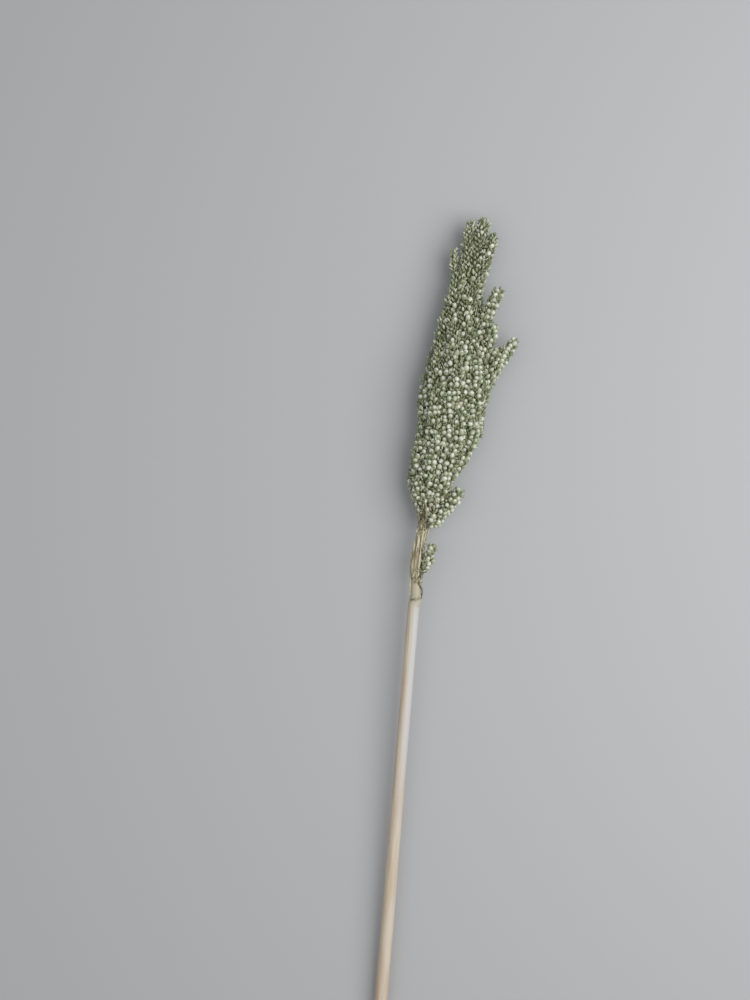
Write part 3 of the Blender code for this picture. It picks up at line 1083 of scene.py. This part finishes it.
def make_husk(name, dark, middle, pale, foot):
    """A dried husk from its foot's colour up, a painted shade at the foot, and from dark to pale by its
    tone.
    """
    own = [(0.0, dark), (0.45, middle), (0.70, middle), (1.0, pale)]
    # Darker towards the foot, where the husk sits deep among the others: painted shade
    upwards = [(0.0, foot), (0.45, "#D8D8C8"), (1.0, "#FFFFFF")]
    material, tree, shader = new_material(name, roughness=0.62, specular=0.30)
    colour = multiplied(tree, [("tone", own, 1.0), ("rise", upwards, 1.0)])
    dress(tree, shader, colour, RIBS, strength=0.5, height=0.2 * MM)
    return material


def make_glume(name):
    """Dried glumes: a papery, ribbed husk, olive with paler edges and points."""
    glume = bpy.context.scene.sorghum_colours.glume
    # The last colour is the painted shade at the glumes' foot
    return make_husk(name, "#858B6B", glume, "#CCCFBC", "#A3A38A")


def make_spikelet(name):
    """Empty spikelets and thin stalks: the same husk with nothing in it, and so paler. The painted
    shade at their foot is lighter than the glumes', as painted light through the thin, empty husk.
    """
    # The last colour is the painted shade at the foot, lighter than the glumes' as painted light
    return make_husk(name, "#868D6C", "#AFB49B", "#DADCCD", "#C2C2A8")


def make_culm_rind(name):
    """Dried grass culm: a hard, satin rind with fibres along it, warm straw in its own colour. Its
    right side, which faces the light, is painted paler as painted light; it is green-grey above the
    ring, and dark at the ring's scar.
    """
    straw = bpy.context.scene.sorghum_colours.straw
    material, tree, shader = new_material(name, roughness=0.50, specular=0.32)
    fibres = [(0.25, "#B3A78F"), (0.45, straw), (0.75, straw)]
    colour = multiplied(tree, [(CULM_FIBRES, fibres, 1.0)])
    patches = [(0.40, (0, 0, 0, 1)), (0.64, (0.9, 0.9, 0.9, 1))]
    layers = [(multiplied(tree, [(CULM_PATCHES, patches, 1.0)]), "#BDA48B")]
    # The pale tint on the right side is painted light; the green and the scar are the culm's own colour
    for kept, tint in (("painted_side_light", "#C0BDB9"), ("green", "#B0A991"), ("scar", "#56584A")):
        layers.append((value_at(tree, kept), tint))
    for factor, tint in layers:
        mixed = add_node(
            tree,
            "ShaderNodeMix",
            {"B": linear(tint)},
            {"Factor": factor, "A": colour},
            data_type="RGBA",
        )
        colour = mixed.outputs["Result"]
    dress(tree, shader, colour, CULM_FIBRES, strength=0.25, height=0.2 * MM)
    return material


def make_branch_foot(name):
    """Dried branch feet: the same rind, thin and crumpled, from cream to olive and tan."""
    own = [(0.0, "#CFC9AF"), (0.5, "#B5AE8E"), (0.85, "#827A5B"), (0.93, "#77755A"), (1.0, "#B5A78D")]
    fibres = [(0.36, "#8F8769"), (0.55, "#FFFFFF")]
    material, tree, shader = new_material(name, roughness=0.50, specular=0.38)
    colour = multiplied(tree, [("tone", own, 1.0), (STRAND_FIBRES, fibres, 1.0)])
    dress(tree, shader, colour, STRAND_FIBRES, strength=0.4, height=0.25 * MM)
    return material


def make_floor(name):
    """Painted board: a flat, pale and matt paint."""
    material, tree, shader = new_material(name, roughness=0.85, specular=0.2)
    shader.inputs["Base Color"].default_value = tuple(bpy.context.scene.sorghum_colours.floor)
    return material


MATERIALS = {
    "dusted_grain": make_grain,
    "dried_glume": make_glume,
    "empty_spikelet": make_spikelet,
    "dried_culm": make_culm_rind,
    "dried_branch_foot": make_branch_foot,
    "matt_painted_board": make_floor,
}


def material_of(name):
    """A material by its name, made the first time it is asked for."""
    return bpy.data.materials.get(name) or MATERIALS[name](name)


def make_core():
    """The inner mass of branches and husks that shows between the outer branches, painted dark all
    over as painted shade deep in the head.
    """
    shape = bmesh.new()
    stations, sides = 70, 36
    path, radii = [], []
    for number in range(stations):
        along = CORE_START + (CORE_END - CORE_START) * number / (stations - 1)
        middle, half = section(along)
        path.append(middle)
        radii.append(max(half.x - CORE_UNDER, CORE_LEAST))
    sweep(shape, path, radii, sides, flatness=DEPTH_SHARE)
    coarse, fine = CORE_LUMPS
    for corner in shape.verts:
        middle, half = section(corner.co.y)
        lump = noise.noise(corner.co * coarse) + 0.5 * noise.noise(corner.co * fine)
        corner.co += (corner.co - middle).normalized() * lump * CORE_LUMP
    return closed_mesh("inner_branches", shape)


def make_axes():
    """The axes of the branches, from the rachis to near their tips."""
    shape = bmesh.new()
    kept = AXIS_POINTS - AXIS_SHORT
    radii = [AXIS_RADIUS * (1 - AXIS_TAPER * step / (AXIS_POINTS - 1)) for step in range(kept)]
    for branch in all_branches():
        sweep(shape, smooth_path(branch.path, AXIS_POINTS)[:kept], radii, 6)
    return closed_mesh("branch_axes", shape)


def culm_height(along):
    """Height of the culm's centre, which comes down evenly from the ring to the cut end."""
    share = -along / CULM_LENGTH
    return AXIS_HEIGHT + share * (CUT_END_RADIUS - AXIS_HEIGHT)


def culm_radius(along):
    """Radius of the culm and the rachis at a station."""
    rows = [
        (-CULM_LENGTH, CUT_END_RADIUS),
        (-THICK_FROM, CUT_END_RADIUS),
        (-THIN_TO, CULM_RADIUS),
        (-RING_FOOT, CULM_RADIUS),
        (-RING_HALF_WIDTH, LOW_SHOULDER),
        (0, RING_RADIUS),
        (RING_HALF_WIDTH, TOP_SHOULDER),
    ]
    rows += [(row[0] * MM, row[2] * MM) for row in RACHIS]
    return float(np.interp(along, [row[0] for row in rows], [row[1] for row in rows]))


def culm_across(along):
    """Where the culm, the ring and the rachis are, across the plant, at a station."""
    rows = [(-RING_FOOT, CULM_SHIFT), (-RING_HALF_WIDTH, RING_SHIFT), (RING_HALF_WIDTH, RING_SHIFT)]
    rows += [(row[0] * MM, row[1] * MM) for row in RACHIS]
    return float(np.interp(along, [row[0] for row in rows], [row[1] for row in rows]))


def culm_stations():
    """Stations along the culm and the rachis, close together at the ring."""
    runs = [np.linspace(low * MM, high * MM, count) for low, high, count in CULM_STATIONS]
    return [float(value) for run in runs for value in run]


def over_ring(along, angle):
    """Height over the ring's scar, which runs a little uphill to the right, in millimetres."""
    return along / MM + SCAR_BELOW - SCAR_TILT * math.cos(angle)


def culm_relief(along, angle):
    """Height of the culm's surface over its plain tube: faint ribs that wave a little, dents, and
    at the ring a torn edge with a groove below it.
    """
    around, up = math.cos(angle), math.sin(angle)
    level = over_ring(along, angle)
    ribs = math.cos(RIBS_ROUND * angle + 1.3 * math.sin(along * 31))
    dents = noise.noise(Vector((3 * around, along * 40, 3 * up)))
    torn = noise.noise(Vector((5 * around, along * 900, 5 * up)))
    edge = torn * math.exp(-((level / EDGE_REACH) ** 2))
    groove = math.exp(-(((level + GROOVE_BELOW) / GROOVE_REACH) ** 2))
    return (RIB * ribs + DENT * dents + TORN_EDGE * edge - GROOVE * groove) * MM


def mark_culm(corner, along, away, angle, layers):
    """Keep how scarred, how lit on its right side and how green the culm is at a corner. The scar
    is flecked, the right side gets a painted light, and the green fades out a little below the ring.
    """
    patch = noise.noise(corner.co * PATCHES)
    fleck = 0.5 + 1.5 * noise.noise(corner.co * FLECKS)
    scarred = math.exp(-((over_ring(along, angle) / SCAR_REACH) ** 2)) * fleck
    upper = float(np.interp(along, SIDE_LIGHT_FROM, [0.15, 1.0]))
    # Paler towards the right, where the light comes from: painted light
    lit_right_side = (away.x + 0.50) / 0.75 + 0.25 * patch
    green = 1 + along / GREEN_BELOW
    values = (share_of(scarred), upper * share_of(lit_right_side), share_of(green))
    for layer, value in zip(layers, values):
        corner[layer] = value


def share_of(value):
    """A value kept between nothing and all."""
    return max(0.0, min(1.0, value))


def make_culm():
    """Culm, node ring and rachis in one skin, with the cut end's rind and sunken pith."""
    shape = bmesh.new()
    layers = [shape.verts.layers.float.new(name) for name in ("scar", "painted_side_light", "green")]
    stations = culm_stations()
    path = []
    for along in stations:
        height = culm_height(along) if along < 0 else AXIS_HEIGHT
        path.append(Vector((culm_across(along), along, height)))
    rings = sweep(shape, path, [culm_radius(along) for along in stations], CULM_SIDES)
    for along, centre, ring in zip(stations, path, rings):
        for side, corner in enumerate(ring):
            angle = side * math.tau / CULM_SIDES
            away = (corner.co - centre).normalized()
            corner.co += away * culm_relief(along, angle)
            corner.co.z = max(corner.co.z, 0.02 * MM)
            mark_culm(corner, along, away, angle, layers)
    pith = [face for face in shape.faces if len(face.verts) > 4 and face.calc_center_median().y < 0]
    rind = bmesh.ops.inset_region(shape, faces=pith, thickness=RIND, depth=0.0)
    sunk = bmesh.ops.inset_region(shape, faces=pith, thickness=PITH_EDGE, depth=-PITH_SUNK)
    bmesh.ops.poke(shape, faces=pith)
    for face in rind["faces"] + sunk["faces"]:
        face.smooth = False
    return closed_mesh("culm", shape)


def keep_tone(rings, layer, tone):
    """Give every corner of a sweep one tone."""
    for ring in rings:
        for corner in ring:
            corner[layer] = tone


def add_strand(shape, layer, azimuth, half_width, reach, tone, draw):
    """One flattened branch foot, wavy and turned a little, with its flat side outwards. It is thin
    where it starts, and it lies at a share, its reach, of the course's distance from the rachis.
    """
    points = []
    last = len(STRAND_COURSE) - 1
    for step, (along, out) in enumerate(STRAND_COURSE):
        angle = azimuth + STRAND_TWIST * step / last + draw.uniform(-0.20, 0.20)
        middle = Vector((culm_across(along * MM), along * MM, AXIS_HEIGHT))
        away = Vector((math.cos(angle), 0, math.sin(angle)))
        points.append(middle + away * (out * reach + draw.uniform(-0.4, 0.4)) * MM)
    count = 56
    wave = draw.uniform(12, 18)
    radii = []
    for step in range(count):
        share = step / (count - 1)
        swell = 1 + 0.20 * math.sin(share * wave + 6 * azimuth)
        radii.append(half_width * swell * min(1.0, 0.35 + 5 * share) * (1 - 0.30 * share))
    roll = -(azimuth + math.pi / 2)
    turn = draw.uniform(-1.1, 0.5)
    rings = sweep(shape, smooth_path(points, count), radii, 10, STRAND_FLATNESS, roll, turn)
    keep_tone(rings, layer, tone)


def add_thread(shape, layer, points, count, radius, taper, sides, tone):
    """A round thread along a smooth curve, narrower at its end by a share of its radius."""
    path = smooth_path(points, count)
    radii = [radius * (1 - taper * step / (count - 1)) for step in range(count)]
    keep_tone(sweep(shape, path, radii, sides), layer, tone)


def add_curl(shape, layer, start, reach, draw):
    """A thin, dry fibre that curls up from its start, each step a share of its reach."""
    points = [start]
    for _ in range(4):
        drift = Vector([draw.uniform(-0.7, 0.7), draw.uniform(-0.5, 0.8), draw.uniform(-0.5, 0.7)])
        points.append(points[-1] + drift * reach)
    add_thread(shape, layer, points, 20, CURL_RADIUS, 0, 5, draw.uniform(0.0, 0.3))


def add_bare_branchlet(shape, layer, draw):
    """A thin branchlet at the foot of the head, from the strands out under the lowest grains, to
    a little under the head's outline.
    """
    near, gap_aside, gap_above = 3.0 * MM, 1.6 * MM, 0.2 * MM
    start = draw.uniform(*BRANCHLET_START) * MM
    end = start + draw.uniform(*BRANCHLET_RUN) * MM
    azimuth = draw.uniform(0, math.tau)
    bow = draw.uniform(-0.7, 0.7)
    points = []
    for share in np.linspace(0, 1, 9):
        along = start + (end - start) * float(share)
        middle, half = section(max(along, CORE_START))
        foot = Vector((culm_across(along), along, AXIS_HEIGHT))
        angle = azimuth + bow * share
        centre = foot.lerp(Vector((middle.x, along, middle.z)), share)
        wide = near + max(0.0, half.x - near - gap_aside) * share
        high = near + max(0.0, half.z - near - gap_above) * share
        wave = Vector([draw.uniform(-0.7, 0.7) * MM for _ in range(3)])
        points.append(centre + wave + Vector((wide * math.cos(angle), 0, high * math.sin(angle))))
    tone = draw.choice((0.0, 0.2, 0.90, 0.93))
    add_thread(shape, layer, points, 32, BRANCHLET_RADIUS, THREAD_TAPER, 5, tone)


def make_strands():
    """Bare, flattened branch feet that climb the rachis, and the thin branchlets and fibres at
    their upper end.
    """
    count = bpy.context.scene.sorghum_sizes.strand_count
    draw = random.Random(SEED + 8)
    shape = bmesh.new()
    layer = shape.verts.layers.float.new("tone")
    for number in range(count):
        azimuth = math.tau * number / count + draw.uniform(-0.12, 0.12)
        half_width = draw.uniform(*STRAND_HALF_WIDTH) * MM
        reach, tone = draw.uniform(0.88, 1.12), draw.uniform(0.0, 0.88)
        add_strand(shape, layer, azimuth, half_width, reach, tone, draw)
    add_strand(shape, layer, *FRONT_STRAND, draw)
    left = [from_axis(*row) for row in LEFT_STRAND]
    add_thread(shape, layer, left, 50, LEFT_STRAND_RADIUS, 0, 7, 0.1)
    for _ in range(BRANCHLETS):
        add_bare_branchlet(shape, layer, draw)
    for _ in range(STRAND_CURLS):
        start = from_axis(draw.uniform(28, 46), draw.uniform(-3, 3), draw.uniform(3, 5))
        add_curl(shape, layer, start, STRAND_CURL_REACH, draw)
    return closed_mesh("bare_strands", shape)


def make_tuft_stalk():
    """The low tuft's thin stalk: it bulges from the ring, crosses in front of the rachis, and
    runs up through the tuft. Curled fibres stand beside it, on the strands' right and upper side.
    """
    shape = bmesh.new()
    layer = shape.verts.layers.float.new("tone")
    points = [from_axis(*row) for row in PEDICEL] + tuft_branch().path[1:]
    add_thread(shape, layer, points, 64, TUFT_STALK_RADIUS, THREAD_TAPER, 8, 0.93)
    draw = random.Random(SEED + 12)
    for _ in range(TUFT_CURLS):
        angle = draw.uniform(0.3, 1.9)
        along = draw.uniform(10, 20)
        across = RACHIS[1][1] + TUFT_CURLS_OUT * math.cos(angle)
        start = from_axis(along, across, TUFT_CURLS_OUT * math.sin(angle))
        add_curl(shape, layer, start, TUFT_CURL_REACH, draw)
    return closed_mesh("tuft_stalk", shape)


def plant_grains(name, seats, draw, node):
    """The pieces of ripe grains, glumes and stalks for some seats."""
    grains, husks, stalks, tones = grain_rows(seats, draw)
    for kind, template, rows, material in (
        ("grains", grain_template, grains, "dusted_grain"),
        ("glumes", husk_template, husks, "dried_glume"),
        ("stalks", stalk_template, stalks, "empty_spikelet"),
    ):
        piece = scatter(f"{name}_{kind}", template(), rows, tones)
        placed_piece(piece, material, node)


def plant_spikelets(name, seats, draw, node):
    """The piece of empty spikelets for some seats."""
    rows, tones = spikelet_rows(seats, draw)
    piece = scatter(f"{name}_spikelets", spikelet_template(), rows, tones)
    placed_piece(piece, "empty_spikelet", node)


class SORGHUM_OT_grains(bpy.types.Operator):
    """Build the ripe grains, their glumes and their stalks, and the empty spikelets between"""

    bl_idname = "sorghum.grains"
    bl_label = "Grains and Spikelets"

    def execute(self, context):
        """Plant the head, and split it in bands so that no piece grows too heavy."""
        grains, spikelets = planted(all_branches(), lambda seat: seat.ripeness, GAP_LAYERS)
        draw = random.Random(SEED + 5)
        for name, low, high in BANDS:
            inside = [seat for seat in grains if low <= seat.place.y < high]
            plant_grains(name, inside, draw, "seed_head")
            inside = [seat for seat in spikelets if low <= seat.place.y < high]
            plant_spikelets(name, inside, draw, "seed_head")
        return {"FINISHED"}


class SORGHUM_OT_branches(bpy.types.Operator):
    """Build the inner mass of the head and the axes of its branches"""

    bl_idname = "sorghum.branches"
    bl_label = "Branches"

    def execute(self, context):
        """Build both in the husk and stalk finishes, at their darkest tone and with painted shade all
        over.
        """
        for make, material in ((make_core, "dried_glume"), (make_axes, "empty_spikelet")):
            mesh = make()
            # A tone and a rise of nothing give the darkest husk colour times the painted shade of a
            # husk's foot
            keep_values(mesh, "tone", np.zeros(len(mesh.vertices)))
            keep_values(mesh, "rise", np.zeros(len(mesh.vertices)))
            placed_piece(finished(mesh.name, mesh), material, "seed_head")
        return {"FINISHED"}


class SORGHUM_OT_stem(bpy.types.Operator):
    """Build the culm with its node ring and cut end, and the bare strands above it"""

    bl_idname = "sorghum.stem"
    bl_label = "Stem"

    def execute(self, context):
        """Build both in straw."""
        for make, material in ((make_culm, "dried_culm"), (make_strands, "dried_branch_foot")):
            mesh = make()
            placed_piece(finished(mesh.name, mesh), material, "stem")
        return {"FINISHED"}


class SORGHUM_OT_tuft(bpy.types.Operator):
    """Build the low tuft with its grains and its thin stalk"""

    bl_idname = "sorghum.tuft"
    bl_label = "Low Tuft"

    def execute(self, context):
        """Plant the tuft's grains and spikelets round its stalk."""
        grains, spikelets = planted([tuft_branch()], lambda seat: 1.05 - 0.45 * seat.share)
        draw = random.Random(SEED + 6)
        grains = [seat for seat in grains if seat.share > TUFT_BARE_TO]
        plant_grains("tuft", grains, draw, "low_tuft")
        plant_spikelets("tuft", [seat._replace(ripeness=0) for seat in spikelets], draw, "low_tuft")
        mesh = make_tuft_stalk()
        placed_piece(finished(mesh.name, mesh), "dried_branch_foot", "stem")
        return {"FINISHED"}


def soft_box(name, place, target, size, power):
    """A square soft light that faces a point."""
    light = bpy.data.lights.new(name, "AREA")
    light.size = size
    light.energy = power
    made = bpy.data.objects.new(name, light)
    made.location = place
    made.rotation_euler = (target - place).to_track_quat("-Z", "Y").to_euler()
    bpy.context.scene.collection.objects.link(made)


class SORGHUM_OT_stage(bpy.types.Operator):
    """Lay the floor, hang the soft lights and set the camera over the plant"""

    bl_idname = "sorghum.stage"
    bl_label = "Stage"

    def execute(self, context):
        """Build the stage round the middle of the picture."""
        middle = RING + PICTURE_CENTRE
        bpy.ops.mesh.primitive_grid_add(x_subdivisions=8, y_subdivisions=8, size=FLOOR_SIZE)
        floor = context.active_object
        floor.name = "floor"
        floor.data.materials.append(material_of("matt_painted_board"))
        floor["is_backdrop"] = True
        for name, place, size, power in LIGHTS:
            soft_box(name, middle + Vector(place), middle, size, power)
        world = bpy.data.worlds.new("soft_room")
        world.use_nodes = True
        room = world.node_tree.nodes["Background"]
        room.inputs["Color"].default_value = linear(ROOM_COLOUR)
        room.inputs["Strength"].default_value = ROOM_LIGHT
        context.scene.world = world
        lens = bpy.data.cameras.new("camera")
        lens.lens = LENS
        lens.sensor_fit = "VERTICAL"
        lens.sensor_height = SENSOR
        camera = bpy.data.objects.new("camera", lens)
        distance = PICTURE_HEIGHT * LENS / SENSOR
        camera.location = middle + Vector((0, 0, AXIS_HEIGHT + distance))
        camera.rotation_euler = (0, 0, PICTURE_TURN)
        context.scene.collection.objects.link(camera)
        context.scene.camera = camera
        context.scene.view_settings.view_transform = "Standard"
        return {"FINISHED"}


class SORGHUM_PT_panel(bpy.types.Panel):
    """The plant's pieces, sizes and colours in the sidebar"""

    bl_label = "Sorghum Seed Head"
    bl_space_type = "VIEW_3D"
    bl_region_type = "UI"
    bl_category = "Sorghum"

    def draw(self, context):
        """List the operators, then the settings."""
        for operator in OPERATORS:
            self.layout.operator(operator.bl_idname)
        for settings in (context.scene.sorghum_sizes, context.scene.sorghum_colours):
            for name in settings.__annotations__:
                self.layout.prop(settings, name)


OPERATORS = (
    SORGHUM_OT_grains,
    SORGHUM_OT_branches,
    SORGHUM_OT_stem,
    SORGHUM_OT_tuft,
    SORGHUM_OT_stage,
)
CLASSES = (SorghumSizes, SorghumColours, *OPERATORS, SORGHUM_PT_panel)


def register():
    """Register the classes and hang the settings on the scene."""
    for cls in CLASSES:
        bpy.utils.register_class(cls)
    bpy.types.Scene.sorghum_sizes = PointerProperty(type=SorghumSizes)
    bpy.types.Scene.sorghum_colours = PointerProperty(type=SorghumColours)


def unregister():
    """Take the settings off the scene and unregister the classes."""
    del bpy.types.Scene.sorghum_colours
    del bpy.types.Scene.sorghum_sizes
    for cls in reversed(CLASSES):
        bpy.utils.unregister_class(cls)


def write_sizes():
    """Put the solids' box and the dressed plant's box side by side, as plain numbers."""
    boxes = {"cad": CAD_BOX, "visual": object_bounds()}
    plain = {name: [[float(value) for value in corner] for corner in box] for name, box in boxes.items()}


def main():
    """Build the plant piece by piece, then its stage."""
    register()
    bpy.ops.sorghum.grains()
    bpy.ops.sorghum.branches()
    bpy.ops.sorghum.stem()
    bpy.ops.sorghum.tuft()
    bpy.ops.sorghum.stage()
    write_sizes()


if __name__ == "__main__":
    main()
